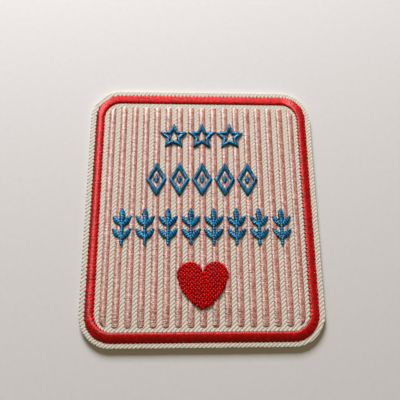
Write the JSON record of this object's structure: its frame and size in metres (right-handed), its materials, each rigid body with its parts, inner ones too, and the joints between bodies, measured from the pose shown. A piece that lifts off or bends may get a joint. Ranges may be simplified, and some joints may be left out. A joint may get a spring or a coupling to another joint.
{
  "type": "embroidered patch",
  "caption": "Rectangular sew-on cloth patch with rounded corners, a raised satin-stitch border, vertical satin stripes, rows of small stitched ornaments and a heart.",
  "frame": {"origin": "on the underside, at the middle of the patch", "axes": "+Z out of the embroidered face, +Y to the patch's top edge, +X to its right edge seen from the face"},
  "size_m": [0.0676, 0.0758, 0.0019],
  "materials": {
    "twill_cream": "cream cotton twill",
    "thread_red": "red satin stitch",
    "thread_pink": "pink satin stitch",
    "thread_blue": "blue satin stitch",
    "fill_red": "red fill stitch"
  },
  "bodies": {
    "root": {"ground_cloth": "twill_cream", "heart": "fill_red", "lozenge_1": "thread_blue", "lozenge_2": "thread_blue", "lozenge_3": "thread_blue", "lozenge_4": "thread_blue", "lozenge_5": "thread_blue", "lozenge_seed_1": "thread_blue", "lozenge_seed_2": "thread_blue", "lozenge_seed_3": "thread_blue", "lozenge_seed_4": "thread_blue", "lozenge_seed_5": "thread_blue", "satin_border": "thread_red", "sprig_1": "thread_blue", "sprig_2": "thread_blue", "sprig_3": "thread_blue", "sprig_4": "thread_blue", "sprig_5": "thread_blue", "sprig_6": "thread_blue", "sprig_7": "thread_blue", "sprig_8": "thread_blue", "star_1": "thread_blue", "star_2": "thread_blue", "star_3": "thread_blue", "stripe_01": "thread_pink", "stripe_02": "thread_pink", "stripe_03": "thread_pink", "stripe_04": "thread_pink", "stripe_05": "thread_pink", "stripe_06": "thread_pink", "stripe_07": "thread_pink", "stripe_08": "thread_pink", "stripe_09": "thread_pink", "stripe_10": "thread_pink", "stripe_11": "thread_pink", "stripe_12": "thread_pink", "stripe_13": "thread_pink", "stripe_14": "thread_pink", "stripe_15": "thread_pink", "stripe_16": "thread_pink", "stripe_17": "thread_pink"}
  },
  "joints": []
}
